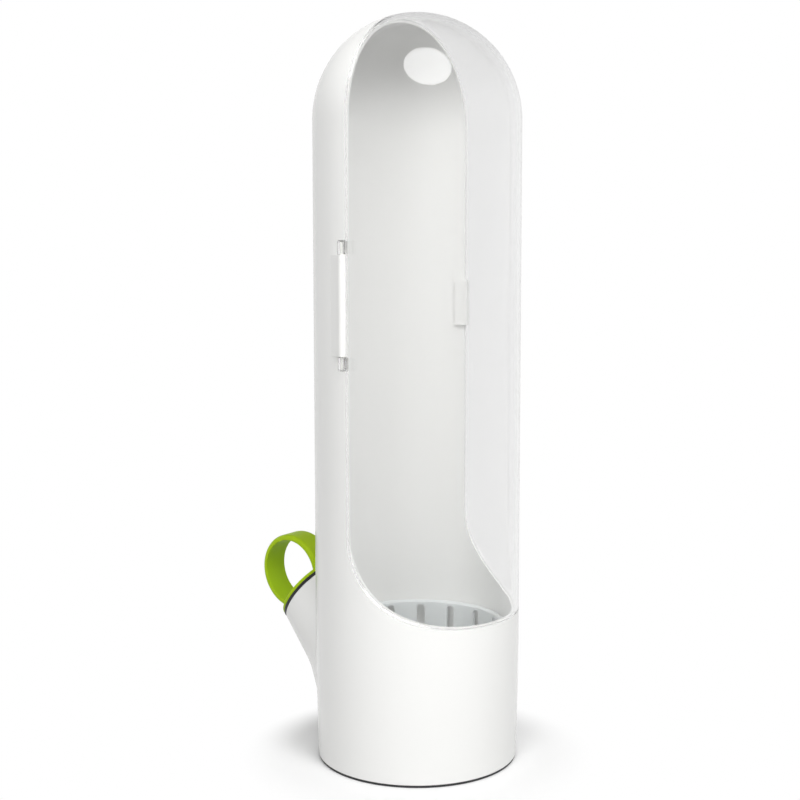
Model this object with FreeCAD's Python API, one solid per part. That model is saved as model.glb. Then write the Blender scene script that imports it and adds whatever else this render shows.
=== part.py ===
import FreeCAD, Part
import math
import os

# Upright keeper: a round white housing with a domed top, a clear cover hinged along
# its left seam, and a filling spout low at the back, closed by a soft stopper.
# Millimetres. +Z is up, the window faces -Y, the spout leans out along +Y, and the
# origin is the centre of the base on the tube's axis.

# Housing tube
tube_radius = 36.0
overall_height = 259.0
base_draft = 0.8            # the lower cup narrows by this at the foot
housing_wall = 2.6
edge_break = 0.25

# Window: a straight seam that sweeps forward below into a round-bottomed sill
window_line = 2.5           # ledge's front edge, behind the tube's widest line
sill_height = 53.5          # lowest point of the visible opening
sill_rise = 30.1            # height of the curved part of the seam
ledge_reach = 0.5           # ledge in front of the housing's outer edge
seam_gap = 0.3

# Clear cover
cover_wall = 1.5
cover_to_ledge = 0.25

# Hinge on the left seam
hinge_bottom = 139.0
hinge_length = 42.4
lug_height = 4.2
barrel_radius = 1.6
pin_radius = 0.8
pin_end_gap = 0.3
axis_depth = 0.6            # hinge axis below the outer surface
axis_setback = 1.5          # hinge axis behind the housing's edge
lug_tail = 7.3              # fairing from the hinge axis forward onto the cover
barrel_tail = 7.0           # fairing from the hinge axis back onto the housing
fairing_sink = 0.2          # depth at which a fairing ends under the tube's surface
lug_root = 1.0              # lug's web inside the cover's wall, before it is trimmed
hinge_backing = 1.2         # wall kept behind the recesses that the lugs turn in
hinge_end_gap = 0.3
hinge_swing_gap = 0.4
pin_running_gap = 0.05
pin_fixed_gap = 0.02
clip_mouth = 1.3            # slot that lets a lug snap over the pin

# Catch on the right seam
catch_height = 160.0
catch_length = 12.0
catch_radius = 0.45
catch_forward = 0.75        # catch bead in front of the cover's edge
catch_gap = 0.2
tongue_margin = 0.3         # ledge in front of the catch groove
tongue_end = 2.0            # ledge past each end of the groove
tongue_thickness = 1.7
tongue_root = 3.0           # behind the housing's edge
thumb_radius = 11.0
thumb_depth = 1.2

# Base
pad_thickness = 0.8
pad_inset = 0.2             # pad inside the foot's edge
pad_spigot_height = 1.0
pad_spigot_start = 0.1      # spigot starts inside the disc, clear of its underside
cap_height = 7.2
cap_floor = 2.4
cap_skirt = 2.8
cap_gap = 0.05
spigot_gap = 0.1
seat_extra = 1.5            # straight bore left above the cap
seal_section = 1.8
seal_gap = 0.03
seal_height = 4.4           # centre of the seal above the floor

# Filling spout
mouth_reach = 10.5          # centre of the mouth behind the tube
mouth_z = 51.8
spout_tilt = 52.6           # degrees from vertical, towards +Y
mouth_radius = 14.8
bore_radius = 12.1
bore_depth = 10.5
bore_lead = 1.5             # taper from the bore to the wider throat
spout_cone = 11.8           # half angle, degrees
spout_straight = 17.4
spout_flare_radius = 28.6
spout_flare_end = 24.2      # half angle where the flare runs into the housing
spout_run_in = 14.0
mouth_rounding = 0.6

# Stopper
flange_radius = 14.5
flange_thickness = 1.4
flange_rounding = 0.5
gasket_thickness = 1.0
gasket_radius = 14.7
gasket_lift = 0.05
gasket_bore_gap = 0.05      # washer's hole round the plug
plug_length = 8.0
plug_gap = 1.2
plug_hollow_wall = 2.4
plug_hollow_depth = 6.0
rib_count = 3
rib_gap = 0.08
rib_height = 1.2
ring_outer_radius = 14.1
ring_inner_radius = 12.1
ring_width = 9.9
ring_centre_height = 11.8   # above the spout's rim
ring_turn = -3.0            # stopper's turn in its bore, degrees
ring_outer_rounding = 1.4
ring_inner_rounding = 0.25

# Lift-out basket
basket_gap = 0.05           # basket foot above the base cap
basket_rim_height = 48.0
basket_rim_gap = 1.45       # rim inside the housing's wall
basket_taper = 1.6          # rim radius less foot radius
basket_wall = 1.3
basket_floor = 1.4
basket_foot_height = 2.0
basket_foot_width = 2.2
rim_bead = 0.9
slot_width = 3.0
slot_height = 13.0
slot_rows = 2
slots_per_row = 16
slot_row_gap = 4.0
slot_first = 5.0            # first row above the basket's floor
hole_radius = 1.6
hole_ring_pitch = 9.0
hole_ring_count = 2         # rings of holes round the middle hole
holes_per_ring = 6          # each ring has this many holes more than the one inside it

cutter_overlap = 1.0        # how far a cutting shape runs past what it cuts
hair = 1e-6                 # sameness of two lengths

# Places worked out from the sizes above
dome_centre = overall_height - tube_radius
inner_radius = tube_radius - housing_wall
base_radius = tube_radius - base_draft
pad_radius = base_radius - pad_inset
mouth_y = tube_radius + mouth_reach
cover_inner_radius = tube_radius - cover_wall
ledge_outer_radius = cover_inner_radius - cover_to_ledge
seam_y = window_line + ledge_reach
curve_top = sill_height + sill_rise
draft_top = sill_height
hinge_x = -(tube_radius - axis_depth)
hinge_y = seam_y + axis_setback
hinge_top = hinge_bottom + hinge_length
swing_radius = barrel_radius + hinge_swing_gap
seat_radius = base_radius - housing_wall
seat_top = pad_thickness + cap_height + seat_extra
cap_top = pad_thickness + cap_height
cap_radius = seat_radius - cap_gap
plug_radius = bore_radius - plug_gap
gasket_top = gasket_lift + gasket_thickness
reach = 2.0 * overall_height
housing_lean = -1           # the ball's pole is on the cover's side of the seam
cover_lean = 1              # the ball's pole is on the housing's side of the seam

X = FreeCAD.Vector(1, 0, 0)
Z = FreeCAD.Vector(0, 0, 1)
ORIGIN = FreeCAD.Vector(0, 0, 0)


def point(x, y, z):
    return FreeCAD.Vector(x, y, z)


def in_profile(radius, z):
    return FreeCAD.Vector(radius, 0, z)


def line(start, end):
    return Part.LineSegment(start, end).toShape()


def polyline(points):
    return [line(a, b) for a, b in zip(points, points[1:])]


def arc(start, middle, end):
    return Part.Arc(start, middle, end).toShape()


def turned(edges):
    """Solid made by turning a closed profile in the XZ plane about the Z axis."""
    face = Part.Face(Part.Wire(edges))
    return face.revolve(ORIGIN, Z, 360)


def cylinder(radius, bottom, top, x=0.0, y=0.0):
    return Part.makeCylinder(radius, top - bottom, point(x, y, bottom), Z)


def disc_with_hole(outer, inner, bottom, top):
    return cylinder(outer, bottom, top).cut(cylinder(inner, bottom - cutter_overlap, top + cutter_overlap))


def drafted_radius(z):
    """Radius of the housing's outside at a height, on one arc tangent to the tube."""
    if z >= draft_top:
        return tube_radius
    arc_height = draft_top - pad_thickness
    arc_radius = (arc_height ** 2 + base_draft ** 2) / (2 * base_draft)
    drop = draft_top - z
    return tube_radius - arc_radius + math.sqrt(arc_radius ** 2 - drop ** 2)


def draft_edge(wall, bottom):
    """The housing's drafted side, a wall's thickness inside, from a height up."""
    middle = (bottom + draft_top) / 2
    heights = (bottom, middle, draft_top)
    ends = [in_profile(drafted_radius(z) - wall, z) for z in heights]
    return arc(*ends)


def dome(radius, lean):
    """Half ball on top of the tube. Its pole leans away from the half that is kept."""
    ball = Part.makeSphere(radius, point(0, 0, dome_centre), point(0, lean, 1))
    above = Part.makeBox(reach, reach, reach, point(-reach / 2, -reach / 2, dome_centre))
    return ball.common(above)


def capsule(radius, bottom, lean):
    """Round bar with a domed top."""
    return cylinder(radius, bottom, dome_centre).fuse(dome(radius, lean))


def prism(corners, bottom, top):
    """Upright block from its corners seen from above."""
    outline = [point(x, y, bottom) for x, y in corners]
    face = Part.Face(Part.Wire(polyline(outline + outline[:1])))
    return face.extrude(Z * (top - bottom))


def in_front_of_window(shift):
    """Everything in front of the visible window line, moved back by a shift."""
    half_width = reach / 2
    edge_y = window_line + shift
    low = sill_height - shift
    curve = Part.BezierCurve()
    curve.setPoles([
        point(-half_width, edge_y, curve_top),
        point(-half_width, edge_y, low),
        point(-half_width, -tube_radius, low),
    ])
    curve.setWeight(2, math.sqrt(0.5))     # makes the curve a quarter ellipse
    edges = [curve.toShape()] + polyline([
        point(-half_width, -tube_radius, low),
        point(-half_width, -reach, low),
        point(-half_width, -reach, reach),
        point(-half_width, edge_y, reach),
        point(-half_width, edge_y, curve_top),
    ])
    face = Part.Face(Part.Wire(edges))
    return face.extrude(X * reach)


def at_spout(shape):
    """Put a shape drawn about Z, with the spout's rim at z = 0, onto the spout's axis."""
    placed = shape.copy()
    turn = FreeCAD.Rotation(X, -spout_tilt)
    placed.Placement = FreeCAD.Placement(point(0, mouth_y, mouth_z), turn)
    return placed


def spout_profile(inset, start):
    """Side of the spout from a depth inward: a cone, then a flare to the run-in.

    A parallel inset gives the inside of the wall. Depths are negative heights.
    """
    cone = math.radians(spout_cone)
    flare = math.radians(spout_flare_end)
    middle = (cone + flare) / 2
    cone_end = mouth_radius + spout_straight * math.tan(cone)
    centre_radius = cone_end + spout_flare_radius * math.cos(cone)
    centre_depth = spout_straight - spout_flare_radius * math.sin(cone)
    sweep = spout_flare_radius + inset

    def on_flare(angle):
        radius = centre_radius - sweep * math.cos(angle)
        depth = centre_depth + sweep * math.sin(angle)
        return in_profile(radius, -depth)

    start_radius = mouth_radius + start * math.tan(cone) - inset / math.cos(cone)
    end = on_flare(flare)
    last = in_profile(end.x + spout_run_in * math.tan(flare), end.z - spout_run_in)
    return [
        line(in_profile(start_radius, -start), on_flare(cone)),
        arc(on_flare(cone), on_flare(middle), end),
        line(end, last),
    ], in_profile(start_radius, -start), last


def spout_outside():
    sides, first, last = spout_profile(0.0, 0.0)
    closing = polyline([last, in_profile(0, last.z), in_profile(0, 0), first])
    solid = turned(sides + closing)
    rim = [e for e in solid.Edges if abs(e.BoundBox.ZMin) < hair and abs(e.BoundBox.ZMax) < hair]
    return at_spout(solid.makeFillet(mouth_rounding, rim[:1]))


def spout_inside():
    sides, first, last = spout_profile(housing_wall, bore_depth + bore_lead)
    closing = polyline([
        last,
        in_profile(0, last.z),
        in_profile(0, cutter_overlap),
        in_profile(bore_radius, cutter_overlap),
        in_profile(bore_radius, -bore_depth),
        first,
    ])
    return at_spout(turned(sides + closing))


def housing_outside():
    edges = polyline([
        in_profile(0, dome_centre),
        in_profile(0, pad_thickness),
        in_profile(base_radius - edge_break, pad_thickness),
        in_profile(drafted_radius(pad_thickness + edge_break), pad_thickness + edge_break),
    ])
    edges.append(draft_edge(0.0, pad_thickness + edge_break))
    edges += polyline([
        in_profile(tube_radius, draft_top),
        in_profile(tube_radius, dome_centre),
        in_profile(0, dome_centre),
    ])
    return turned(edges).fuse(dome(tube_radius, housing_lean))


def housing_inside():
    edges = polyline([
        in_profile(0, dome_centre),
        in_profile(0, -cutter_overlap),
        in_profile(seat_radius, -cutter_overlap),
        in_profile(seat_radius, seat_top),
        in_profile(drafted_radius(seat_top) - housing_wall, seat_top),
    ])
    edges.append(draft_edge(housing_wall, seat_top))
    edges += polyline([
        in_profile(inner_radius, draft_top),
        in_profile(inner_radius, dome_centre),
        in_profile(0, dome_centre),
    ])
    return turned(edges).fuse(dome(inner_radius, housing_lean))


def at_hinge(radius, bottom, top):
    return cylinder(radius, bottom, top, hinge_x, hinge_y)


def lug_spans():
    """Heights of the cover's two hinge lugs, below and above the housing's barrel."""
    return (
        (hinge_bottom, hinge_bottom + lug_height),
        (hinge_top - lug_height, hinge_top),
    )


def barrel_span():
    gap = hinge_end_gap
    return hinge_bottom + lug_height + gap, hinge_top - lug_height - gap


def fairing_ends(tail_y, side):
    """Where a flat fairing grazes the hinge's knuckle, and where it ends in the tube."""
    tail_x = fairing_sink - math.sqrt(tube_radius ** 2 - tail_y ** 2)
    ahead_x = tail_x - hinge_x
    ahead_y = tail_y - hinge_y
    spread = math.acos(barrel_radius / math.hypot(ahead_x, ahead_y))
    angle = math.atan2(ahead_y, ahead_x) + side * spread
    graze_x = hinge_x + barrel_radius * math.cos(angle)
    graze_y = hinge_y + barrel_radius * math.sin(angle)
    return (graze_x, graze_y), (tail_x, tail_y)


def catch_place():
    """Centre of the catch bead, on the cover's inner face at the right seam."""
    y = seam_y - seam_gap - catch_forward
    return math.sqrt(cover_inner_radius ** 2 - y ** 2), y


def catch_bead(radius, length):
    x, y = catch_place()
    middle = catch_height
    return cylinder(radius, middle - length / 2, middle + length / 2, x, y)


def thumb_notch():
    """Shallow dish at the right seam where a thumb opens the cover."""
    x = tube_radius + thumb_radius - thumb_depth
    return Part.makeSphere(thumb_radius, point(x, seam_y, catch_height))


def catch_tongue():
    """Thicker stretch of ledge that stands forward and holds the catch's groove."""
    length = catch_length + 2 * catch_gap + 2 * tongue_end
    low = catch_height - length / 2
    front = catch_place()[1] - catch_radius - catch_gap - tongue_margin
    band = disc_with_hole(ledge_outer_radius, ledge_outer_radius - tongue_thickness, low, low + length)
    depth = seam_y + tongue_root - front
    return band.common(Part.makeBox(tube_radius, depth, length, point(0, front, low)))


def hinge_recess(bottom, top):
    return at_hinge(swing_radius, bottom - hinge_end_gap, top + hinge_end_gap)


def make_housing():
    backing_radius = swing_radius + hinge_backing
    backing = at_hinge(backing_radius, hinge_bottom - hinge_backing, hinge_top + hinge_backing)
    inside = housing_inside().cut(backing)
    housing = housing_outside().cut([inside, in_front_of_window(0.0)])
    within_ledge = capsule(ledge_outer_radius, pad_thickness, housing_lean)
    housing = housing.cut(in_front_of_window(ledge_reach).cut(within_ledge))
    housing = housing.fuse(catch_tongue())
    housing = housing.cut(spout_inside())

    low, high = barrel_span()
    housing = housing.cut([hinge_recess(bottom, top) for bottom, top in lug_spans()])
    graze, tail = fairing_ends(hinge_y + barrel_tail, 1)
    fairing = prism([graze, tail, (hinge_x, hinge_y)], low, high)
    housing = housing.fuse([at_hinge(barrel_radius, low, high), fairing])
    pin_bore = at_hinge(pin_radius + pin_fixed_gap, low - cutter_overlap, high + cutter_overlap)
    groove = catch_bead(catch_radius + catch_gap, catch_length + 2 * catch_gap)
    return housing.cut([pin_bore, groove, thumb_notch()]).removeSplitter()


def make_filler_spout():
    """Spout moulded apart and welded round its root to the outside of the cup."""
    return spout_outside().cut([housing_outside(), spout_inside()])


def hinge_lug(bottom, top):
    """C-shaped lug, faired onto the cover, that snaps over the pin from behind."""
    graze, tail = fairing_ends(hinge_y - lug_tail, -1)
    inside_x = lug_root - cover_inner_radius
    web = prism([graze, tail, (inside_x, tail[1]), (inside_x, hinge_y)], bottom, top)
    web = web.cut(cylinder(cover_inner_radius, bottom - cutter_overlap, top + cutter_overlap))
    return web.fuse(at_hinge(barrel_radius, bottom, top))


def make_front_cover():
    outer = capsule(tube_radius, pad_thickness, cover_lean)
    shell = outer.cut(capsule(cover_inner_radius, pad_thickness - cutter_overlap, cover_lean))
    cover = shell.common(in_front_of_window(ledge_reach - seam_gap))
    cover = cover.cut(hinge_recess(*barrel_span()))
    cover = cover.fuse([hinge_lug(bottom, top) for bottom, top in lug_spans()])
    bead = catch_bead(catch_radius, catch_length)
    cover = cover.fuse(bead)
    low = hinge_bottom - cutter_overlap
    high = hinge_top + cutter_overlap
    bore = at_hinge(pin_radius + pin_running_gap, low, high)
    slot_corner = point(hinge_x - clip_mouth / 2, hinge_y, low)
    slot = Part.makeBox(clip_mouth, 2 * barrel_radius, high - low, slot_corner)
    return cover.cut([bore, slot]).removeSplitter()


def make_hinge_pin():
    pin = at_hinge(pin_radius, hinge_bottom + pin_end_gap, hinge_top - pin_end_gap)
    ends = [e for e in pin.Edges if e.BoundBox.ZLength < hair]
    return pin.makeChamfer(edge_break, ends)


def make_base_cap():
    """Inverted cup pressed into the foot of the housing, with a groove for its seal."""
    body = cylinder(cap_radius, pad_thickness, cap_top)
    hollow_radius = cap_radius - seal_section - cap_skirt
    hollow = cylinder(hollow_radius, pad_thickness - cutter_overlap, cap_top - cap_floor)
    groove_half = seal_section / 2 + seal_gap
    groove = disc_with_hole(
        cap_radius + cutter_overlap,
        seat_radius - seal_section - 2 * seal_gap,
        seal_height - groove_half,
        seal_height + groove_half,
    )
    top_edge = [e for e in body.Edges if abs(e.BoundBox.ZMin - cap_top) < hair]
    body = body.makeChamfer(edge_break, top_edge)
    return body.cut([hollow, groove])


def make_base_seal():
    section = seal_section / 2
    centre = seat_radius - section - seal_gap
    return Part.makeTorus(centre, section, point(0, 0, seal_height), Z)


def make_base_pad():
    """Soft disc under the whole base. Its spigot locates it in the cap's hollow."""
    spigot_radius = cap_radius - seal_section - cap_skirt - spigot_gap
    disc = cylinder(pad_radius, 0, pad_thickness)
    rim = [e for e in disc.Edges if e.BoundBox.ZLength < hair and e.BoundBox.ZMin < hair]
    disc = disc.makeChamfer(edge_break, rim)
    spigot = cylinder(spigot_radius, pad_spigot_start, pad_thickness + pad_spigot_height)
    return disc.fuse(spigot).removeSplitter()


def plug_rib(middle):
    """Squeezing rib round the plug, with a sharp crest at the middle of its height."""
    low = middle - rib_height / 2
    high = middle + rib_height / 2
    root_radius = plug_radius - plug_hollow_wall / 2
    return turned(polyline([
        in_profile(root_radius, low),
        in_profile(plug_radius, low),
        in_profile(bore_radius - rib_gap, middle),
        in_profile(plug_radius, high),
        in_profile(root_radius, high),
        in_profile(root_radius, low),
    ]))


def round_edges(solid, radius, rounding):
    edges = [e for e in solid.Edges if isinstance(e.Curve, Part.Circle)]
    return solid.makeFillet(rounding, [e for e in edges if abs(e.Curve.Radius - radius) < hair])


def pull_ring(foot):
    """Flat ring that stands on edge across the flange, cut off at its foot and turned."""
    centre = point(-ring_width / 2, 0, ring_centre_height)
    hole_centre = centre - X * cutter_overlap
    hole = Part.makeCylinder(ring_inner_radius, ring_width + 2 * cutter_overlap, hole_centre, X)
    ring = Part.makeCylinder(ring_outer_radius, ring_width, centre, X).cut(hole)
    ring = round_edges(ring, ring_outer_radius, ring_outer_rounding)
    ring = round_edges(ring, ring_inner_radius, ring_inner_rounding)
    ring = ring.cut(Part.makeBox(reach, reach, reach, point(-reach / 2, -reach / 2, foot - reach)))
    ring.rotate(ORIGIN, Z, ring_turn)
    return ring


def make_stopper():
    """Soft stopper: ribbed hollow plug, flange and a pull ring standing on it."""
    flange_middle = gasket_top + flange_thickness / 2
    flange = cylinder(flange_radius, gasket_top, gasket_top + flange_thickness)
    flange = round_edges(flange, flange_radius, flange_rounding)
    plug = cylinder(plug_radius, -plug_length, flange_middle)
    pitch = plug_length / rib_count
    ribs = [plug_rib(-pitch * (index + 0.5)) for index in range(rib_count)]
    stopper = plug.fuse(ribs + [flange, pull_ring(flange_middle)])
    hollow_top = plug_hollow_depth - plug_length
    hollow = cylinder(plug_radius - plug_hollow_wall, -plug_length - cutter_overlap, hollow_top)
    return at_spout(stopper.cut(hollow).removeSplitter())


def make_stopper_gasket():
    washer = disc_with_hole(gasket_radius, plug_radius + gasket_bore_gap, gasket_lift, gasket_top)
    return at_spout(washer)


def make_inner_basket():
    """Perforated cup that stands on the base cap and lifts out by its rim."""
    foot = cap_top + basket_gap
    floor_under = foot + basket_foot_height
    floor_top = floor_under + basket_floor
    rim_outer = inner_radius - basket_rim_gap
    top_radius = rim_outer - rim_bead
    foot_radius = top_radius - basket_taper
    slope = basket_taper / (basket_rim_height - foot)

    def side(z):
        return foot_radius + slope * (z - foot)

    rim_low = basket_rim_height - 2 * rim_bead
    edges = polyline([
        in_profile(0, floor_under),
        in_profile(foot_radius - basket_foot_width, floor_under),
        in_profile(foot_radius - basket_foot_width, foot),
        in_profile(foot_radius, foot),
        in_profile(side(rim_low), rim_low),
        in_profile(side(rim_low) + rim_bead, rim_low),
    ])
    edges.append(arc(
        in_profile(side(rim_low) + rim_bead, rim_low),
        in_profile(rim_outer, basket_rim_height - rim_bead),
        in_profile(side(basket_rim_height) - basket_wall / 2, basket_rim_height),
    ))
    edges += polyline([
        in_profile(side(basket_rim_height) - basket_wall / 2, basket_rim_height),
        in_profile(side(basket_rim_height) - basket_wall, basket_rim_height - basket_wall / 2),
        in_profile(side(floor_top) - basket_wall, floor_top),
        in_profile(0, floor_top),
        in_profile(0, floor_under),
    ])
    basket = turned(edges)

    cutters = []
    for row in range(slot_rows):
        low = floor_top + slot_first + row * (slot_height + slot_row_gap)
        for index in range(slots_per_row):
            angle = 360.0 * (index + 0.5 * row) / slots_per_row
            slot = rounded_slot(low)
            slot.rotate(ORIGIN, Z, angle)
            cutters.append(slot)
    hole_low = floor_under - cutter_overlap
    hole_high = floor_top + cutter_overlap
    cutters.append(cylinder(hole_radius, hole_low, hole_high))
    for ring in range(1, hole_ring_count + 1):
        holes = holes_per_ring * ring
        for index in range(holes):
            angle = 2 * math.pi * index / holes
            x = ring * hole_ring_pitch * math.cos(angle)
            y = ring * hole_ring_pitch * math.sin(angle)
            cutters.append(cylinder(hole_radius, hole_low, hole_high, x, y))
    return basket.cut(cutters)


def rounded_slot(low):
    """Upright slot with round ends, drawn through the wall on the +X side."""
    half = slot_width / 2
    near = tube_radius / 2
    length = tube_radius
    bottom = low + half
    top = low + slot_height - half
    block = Part.makeBox(length, slot_width, top - bottom, point(near, -half, bottom))
    ends = [Part.makeCylinder(half, length, point(near, 0, z), X) for z in (bottom, top)]
    return block.fuse(ends)


parts = {
    "housing": make_housing,
    "filler_spout": make_filler_spout,
    "front_cover": make_front_cover,
    "hinge_pin": make_hinge_pin,
    "base_cap": make_base_cap,
    "base_seal": make_base_seal,
    "base_pad": make_base_pad,
    "inner_basket": make_inner_basket,
    "stopper": make_stopper,
    "stopper_gasket": make_stopper_gasket,
}

os.makedirs("parts", exist_ok=True)
for name, make in parts.items():
    shape = make()
    solids = shape.Solids
    print(name, "solids", len(solids), "valid", shape.isValid(), "volume", round(shape.Volume, 1))
    if len(solids) == 1:
        shape = solids[0]
    shape.exportStep("parts/" + name + ".step")
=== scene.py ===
import math
import bpy
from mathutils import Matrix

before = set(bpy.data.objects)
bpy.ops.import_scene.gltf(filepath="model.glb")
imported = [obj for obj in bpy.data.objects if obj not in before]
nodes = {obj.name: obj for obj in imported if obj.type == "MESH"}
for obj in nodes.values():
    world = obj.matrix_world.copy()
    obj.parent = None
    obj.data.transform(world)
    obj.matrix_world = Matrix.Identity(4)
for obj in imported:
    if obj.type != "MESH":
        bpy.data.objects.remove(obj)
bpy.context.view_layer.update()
bpy.ops.object.select_all(action="DESELECT")
print("herb keeper: packed model loaded,", len(nodes), "nodes")

millimetresPerMetre = 1000
middleBand = (0.3, 0.7)  # where most of a noise texture's values lie


def linearColour(hexText):
    channels = [int(hexText[i:i + 2], 16) / 255 for i in (1, 3, 5)]
    return tuple(c / 12.92 if c <= 0.04045 else ((c + 0.055) / 1.055) ** 2.4 for c in channels) + (1.0,)


def addNode(tree, kind, settings=None, values=None, links=None):
    made = tree.nodes.new(kind)
    for name, value in (settings or {}).items():
        setattr(made, name, value)
    for socket, value in (values or {}).items():
        made.inputs[socket].default_value = value
    for socket, source in (links or {}).items():
        tree.links.new(source, made.inputs[socket])
    return made


def newMaterial(name):
    material = bpy.data.materials.new(name)
    material.use_nodes = True
    tree = material.node_tree
    tree.nodes.clear()
    place = addNode(tree, "ShaderNodeTexCoord").outputs["Object"]
    return material, tree, place


def endMaterial(tree, surface):
    addNode(tree, "ShaderNodeOutputMaterial", links={"Surface": surface})


def useMaterial(nodeName, material):
    for slot in nodes[nodeName].material_slots:
        slot.material = material


def noise(tree, place, sizeMm, detail):
    # Object coordinates are in metres, so this scale makes features about sizeMm across
    made = addNode(tree, "ShaderNodeTexNoise",
                   values={"Scale": millimetresPerMetre / sizeMm, "Detail": detail}, links={"Vector": place})
    return made.outputs["Fac"]


def blend(tree, factor, lowColour, highColour):
    made = addNode(tree, "ShaderNodeMix", {"data_type": "RGBA"},
                   {"A": linearColour(lowColour), "B": linearColour(highColour)}, {"Factor": factor})
    return made.outputs["Result"]


def spread(tree, value, band, limits, kind="LINEAR"):
    made = addNode(tree, "ShaderNodeMapRange", {"interpolation_type": kind},
                   {"From Min": band[0], "From Max": band[1], "To Min": limits[0], "To Max": limits[1]},
                   {"Value": value})
    return made.outputs["Result"]


def bump(tree, height, strength, depth):
    made = addNode(tree, "ShaderNodeBump", values={"Strength": strength, "Distance": depth},
                   links={"Height": height})
    return made.outputs["Normal"]


def calculate(tree, operation, first, second):
    made = addNode(tree, "ShaderNodeMath", {"operation": operation}, links={0: first, 1: second})
    return made.outputs["Value"]


def mixShaders(tree, factor, first, second):
    made = addNode(tree, "ShaderNodeMixShader", links={0: factor, 1: first, 2: second})
    return made.outputs["Shader"]


def whiteAbs(name, look):
    # white ABS from a polished mould: bright, glossy, with a very faint orange peel in the shine
    material, tree, place = newMaterial(name)
    cloud = noise(tree, place, look["cloudMm"], look["cloudDetail"])
    smear = noise(tree, place, look["smearMm"], look["smearDetail"])
    peel = noise(tree, place, look["peelMm"], look["peelDetail"])
    shader = addNode(tree, "ShaderNodeBsdfPrincipled", values={"IOR": look["ior"]}, links={
        "Base Color": blend(tree, cloud, look["colour"], look["warmColour"]),
        "Roughness": spread(tree, smear, middleBand, look["rough"]),
        "Normal": bump(tree, peel, look["peelStrength"], look["peelDepth"])})
    endMaterial(tree, shader.outputs["BSDF"])
    return material


housingLook = {"colour": "#F3F3F1", "warmColour": "#F1F1EF", "ior": 1.54, "cloudMm": 60, "cloudDetail": 2.0,
               "smearMm": 40, "smearDetail": 4.0, "rough": (0.2, 0.27), "peelMm": 3.5, "peelDetail": 1.0,
               "peelStrength": 0.03, "peelDepth": 0.0001}
polishedWhiteAbs = whiteAbs("polishedWhiteAbs", housingLook)
useMaterial("housing", polishedWhiteAbs)
useMaterial("filler_spout", polishedWhiteAbs)

capLook = {"colour": "#EDEDEA", "warmColour": "#EAEAE6", "ior": 1.54, "cloudMm": 40, "cloudDetail": 2.0,
           "smearMm": 14, "smearDetail": 4.0, "rough": (0.3, 0.42), "peelMm": 1.6, "peelDetail": 1.0,
           "peelStrength": 0.1, "peelDepth": 0.0002}
useMaterial("base_cap", whiteAbs("whiteAbsCap", capLook))


def clearSan(name, look):
    # clear SAN from a polished mould: sharp shine, faint handling smears; lamps pass straight through it
    material, tree, place = newMaterial(name)
    smear = noise(tree, place, look["smearMm"], look["smearDetail"])
    shader = addNode(tree, "ShaderNodeBsdfPrincipled",
                     values={"Base Color": linearColour(look["colour"]), "IOR": look["ior"],
                             "Transmission Weight": 1.0},
                     links={"Roughness": spread(tree, smear, look["smearBand"], look["rough"])})
    lampWay = addNode(tree, "ShaderNodeBsdfTransparent", values={"Color": linearColour(look["lampColour"])})
    path = addNode(tree, "ShaderNodeLightPath").outputs
    fromLamp = calculate(tree, "MAXIMUM", path["Is Shadow Ray"], path["Is Diffuse Ray"])
    endMaterial(tree, mixShaders(tree, fromLamp, shader.outputs["BSDF"], lampWay.outputs["BSDF"]))
    return material


coverLook = {"colour": "#F4F4F4", "lampColour": "#F8F8F8", "ior": 1.57, "smearMm": 45, "smearDetail": 4.0,
             "smearBand": (0.35, 0.75), "rough": (0.02, 0.05)}
useMaterial("front_cover", clearSan("clearSan", coverLook))


def mouldedRubber(name, look):
    # compression moulded rubber or silicone: satin and slightly cloudy, with a fine grain in the shine
    material, tree, place = newMaterial(name)
    cloud = noise(tree, place, look["cloudMm"], look["cloudDetail"])
    grain = noise(tree, place, look["grainMm"], look["grainDetail"])
    shader = addNode(tree, "ShaderNodeBsdfPrincipled",
                     values={"IOR": look["ior"], "Specular IOR Level": look["shine"]}, links={
                         "Base Color": blend(tree, cloud, look["colour"], look["paleColour"]),
                         "Roughness": spread(tree, cloud, middleBand, look["rough"]),
                         "Normal": bump(tree, grain, look["grainStrength"], look["grainDepth"])})
    endMaterial(tree, shader.outputs["BSDF"])
    return material


stopperLook = {"colour": "#A9CA18", "paleColour": "#AFCE20", "ior": 1.41, "shine": 0.25, "cloudMm": 9,
               "cloudDetail": 3.0, "rough": (0.46, 0.56), "grainMm": 0.5, "grainDetail": 2.0,
               "grainStrength": 0.12, "grainDepth": 0.0001}
useMaterial("stopper", mouldedRubber("limeSilicone", stopperLook))

gasketLook = {"colour": "#1B1B1C", "paleColour": "#232324", "ior": 1.5, "shine": 0.5, "cloudMm": 5,
              "cloudDetail": 3.0, "rough": (0.5, 0.62), "grainMm": 0.4, "grainDetail": 2.0,
              "grainStrength": 0.15, "grainDepth": 0.0001}
useMaterial("stopper_gasket", mouldedRubber("blackNitrile", gasketLook))
useMaterial("base_seal", mouldedRubber("blackSealNitrile", gasketLook))

padLook = {"colour": "#2C2C2E", "paleColour": "#363638", "ior": 1.5, "shine": 0.5, "cloudMm": 12,
           "cloudDetail": 3.0, "rough": (0.6, 0.75), "grainMm": 0.6, "grainDetail": 2.0,
           "grainStrength": 0.3, "grainDepth": 0.0001}
useMaterial("base_pad", mouldedRubber("greyPadRubber", padLook))


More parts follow.
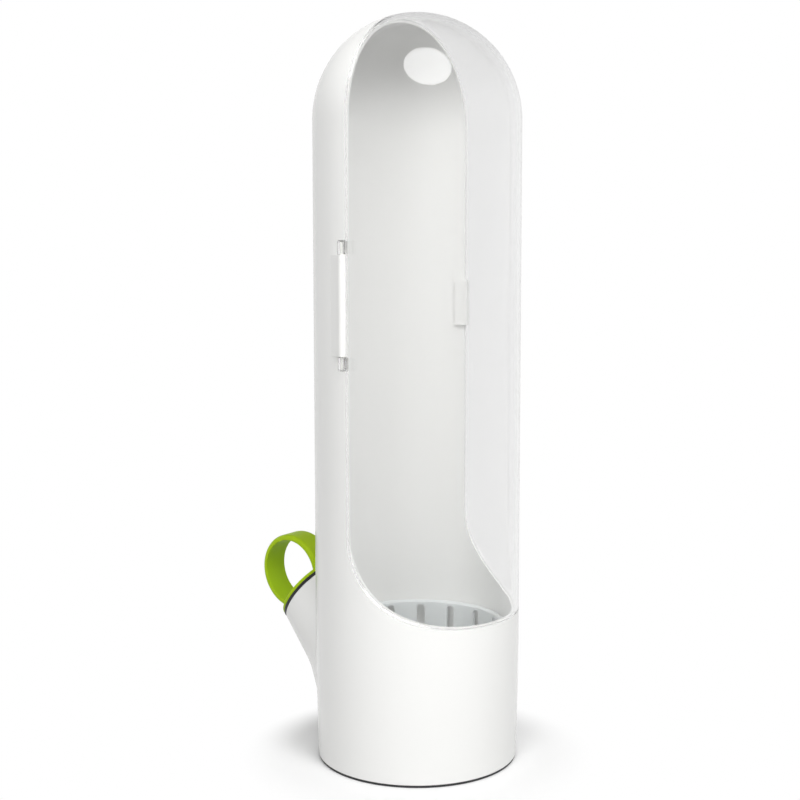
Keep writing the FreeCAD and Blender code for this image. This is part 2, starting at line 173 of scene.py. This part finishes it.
def frostedPolypropylene(name, look):
    # natural polypropylene from an etched mould: milky, lets light through, satin skin
    material, tree, place = newMaterial(name)
    cloud = noise(tree, place, look["cloudMm"], look["cloudDetail"])
    etch = noise(tree, place, look["etchMm"], look["etchDetail"])
    shader = addNode(tree, "ShaderNodeBsdfPrincipled",
                     values={"Base Color": linearColour(look["colour"]), "IOR": look["ior"],
                             "Alpha": look["solid"], "Subsurface Weight": look["milk"],
                             "Subsurface Radius": look["milkDepth"], "Subsurface Scale": 1.0},
                     links={"Roughness": spread(tree, cloud, middleBand, look["rough"]),
                            "Normal": bump(tree, etch, look["etchStrength"], look["etchDepth"])})
    endMaterial(tree, shader.outputs["BSDF"])
    return material


basketLook = {"colour": "#E8ECEC", "ior": 1.49, "solid": 0.8, "milk": 0.3, "milkDepth": (0.003, 0.003, 0.003),
              "cloudMm": 16, "cloudDetail": 3.0, "rough": (0.38, 0.5), "etchMm": 0.5, "etchDetail": 2.0,
              "etchStrength": 0.2, "etchDepth": 0.0001}
useMaterial("inner_basket", frostedPolypropylene("frostedPolypropylene", basketLook))


def extrudedAcetal(name, look):
    # natural white acetal rod, extruded and cut: waxy, with fine die lines along its length
    material, tree, place = newMaterial(name)
    along = addNode(tree, "ShaderNodeMapping", values={"Scale": look["stretch"]}, links={"Vector": place})
    lines = noise(tree, along.outputs["Vector"], look["lineMm"], look["lineDetail"])
    shader = addNode(tree, "ShaderNodeBsdfPrincipled",
                     values={"IOR": look["ior"], "Subsurface Weight": look["wax"],
                             "Subsurface Radius": look["waxDepth"], "Subsurface Scale": 1.0},
                     links={"Base Color": blend(tree, lines, look["colour"], look["paleColour"]),
                            "Roughness": spread(tree, lines, middleBand, look["rough"])})
    endMaterial(tree, shader.outputs["BSDF"])
    return material


pinLook = {"colour": "#ECECE7", "paleColour": "#F3F3EF", "ior": 1.48, "wax": 0.2,
           "waxDepth": (0.001, 0.001, 0.001), "stretch": (1.0, 1.0, 0.02), "lineMm": 0.3, "lineDetail": 2.0,
           "rough": (0.3, 0.42)}
useMaterial("hinge_pin", extrudedAcetal("extrudedAcetal", pinLook))
print("herb keeper: finishes on")


white = linearColour("#FFFFFF")
floorLook = {"size": 30.0, "colour": "#EDEDED", "bounceColour": "#B4B4B4", "rough": 0.9, "lift": 0.02,
             "whiteFrom": (0.043, 0.064)}  # radii round the tube's axis, in metres


def paleFloor(look):
    # matt white sweep: holds the shadow near the foot, and is plain white beyond it where it is looked at
    material, tree, place = newMaterial("paleSweep")
    path = addNode(tree, "ShaderNodeLightPath").outputs
    seen = calculate(tree, "MAXIMUM", path["Is Camera Ray"], path["Is Glossy Ray"])
    seen = calculate(tree, "MAXIMUM", seen, path["Is Transmission Ray"])
    near = addNode(tree, "ShaderNodeBsdfPrincipled",
                   values={"Roughness": look["rough"], "Specular IOR Level": 0.0, "Emission Color": white},
                   links={"Base Color": blend(tree, seen, look["bounceColour"], look["colour"]),
                          "Emission Strength": spread(tree, seen, (0.0, 1.0), (0.0, look["lift"]))})
    away = addNode(tree, "ShaderNodeVectorMath", {"operation": "LENGTH"}, links={0: place}).outputs["Value"]
    rise = spread(tree, away, look["whiteFrom"], (0.0, 1.0), "SMOOTHSTEP")
    beyond = addNode(tree, "ShaderNodeEmission", values={"Color": white, "Strength": 1.0})
    endMaterial(tree, mixShaders(tree, calculate(tree, "MULTIPLY", rise, seen), near.outputs["BSDF"],
                                 beyond.outputs["Emission"]))
    return material


bpy.ops.mesh.primitive_plane_add(size=floorLook["size"], location=(0, 0, 0))
floor = bpy.context.object
floor.name = "floor"
floor.data.materials.append(paleFloor(floorLook))


roomLook = {"light": 0.64, "backLight": 1.3, "backWay": (0.707, 0.707, 0.0), "backBand": (0.0, 0.8),
            "ceiling": 0.2, "ceilingBand": (0.15, 0.8)}


def oneWhere(tree, flag, otherwise):
    made = addNode(tree, "ShaderNodeMapRange", values={"To Max": 1.0},
                   links={"Value": flag, "To Min": otherwise})
    return made.outputs["Result"]


def paleRoom(look):
    # white room under a darker ceiling, with a brighter wall behind the object;
    # the backdrop is plain white to the eye and through the clear cover
    room = bpy.data.worlds.new("paleRoom")
    room.use_nodes = True
    tree = room.node_tree
    tree.nodes.clear()
    way = addNode(tree, "ShaderNodeTexCoord").outputs["Generated"]
    height = addNode(tree, "ShaderNodeSeparateXYZ", links={"Vector": way}).outputs["Z"]
    shade = spread(tree, height, look["ceilingBand"], (1.0, look["ceiling"]), "SMOOTHSTEP")
    backward = addNode(tree, "ShaderNodeVectorMath", {"operation": "DOT_PRODUCT"}, {1: look["backWay"]},
                       {0: way})
    wall = spread(tree, backward.outputs["Value"], look["backBand"], (look["light"], look["backLight"]),
                  "SMOOTHSTEP")
    path = addNode(tree, "ShaderNodeLightPath").outputs
    level = calculate(tree, "MULTIPLY", shade, oneWhere(tree, path["Is Glossy Ray"], wall))
    plain = calculate(tree, "MAXIMUM", path["Is Camera Ray"], path["Is Transmission Ray"])
    backdrop = addNode(tree, "ShaderNodeBackground", values={"Color": white},
                       links={"Strength": oneWhere(tree, plain, level)})
    addNode(tree, "ShaderNodeOutputWorld", links={"Surface": backdrop.outputs["Background"]})
    return room


bpy.context.scene.world = paleRoom(roomLook)


lampAim = (0, 0, 0.13)
lamps = {
    "roundLamp": {"turn": -128, "lift": 56, "distance": 0.95, "shape": "DISK", "width": 0.7, "height": 0.7,
                  "watts": 5.3, "mirrored": True},
    "keyLamp": {"turn": -112, "lift": 35, "distance": 1.2, "shape": "RECTANGLE", "width": 0.4, "height": 0.4,
                "watts": 5.1, "mirrored": False},
    "fillLamp": {"turn": -166, "lift": 23, "distance": 1.2, "shape": "RECTANGLE", "width": 0.4, "height": 0.4,
                 "watts": 3.6, "mirrored": False},
}


def addLamp(name, look):
    turn, lift = math.radians(look["turn"]), math.radians(look["lift"])
    level = look["distance"] * math.cos(lift)
    place = (lampAim[0] + level * math.cos(turn), lampAim[1] + level * math.sin(turn),
             lampAim[2] + look["distance"] * math.sin(lift))
    bpy.ops.object.light_add(type="AREA", location=place,
                             rotation=(math.pi / 2 - lift, 0, turn + math.pi / 2))
    lamp = bpy.context.object
    lamp.name = name
    lamp.data.shape = look["shape"]
    lamp.data.size = look["width"]
    lamp.data.size_y = look["height"]
    lamp.data.energy = look["watts"]
    lamp.visible_glossy = look["mirrored"]
    lamp.visible_transmission = look["mirrored"]


for lampName, lampLook in lamps.items():
    addLamp(lampName, lampLook)
print("herb keeper: floor, room and lamps set")


view = {"place": (-0.3773, -0.2769, 0.1721), "down": 5.54, "heading": -53.72, "lensMm": 60.4, "sensorMm": 36,
        "shift": -0.0215, "nearClip": 0.01}
bpy.ops.object.camera_add(location=view["place"],
                          rotation=(math.radians(90 - view["down"]), 0, math.radians(view["heading"])))
camera = bpy.context.object
camera.name = "viewCamera"
camera.data.sensor_width = view["sensorMm"]
camera.data.lens = view["lensMm"]
camera.data.shift_x = view["shift"]
camera.data.clip_start = view["nearClip"]
bpy.context.scene.camera = camera
bpy.context.scene.view_settings.view_transform = "Standard"
print("herb keeper: camera set")
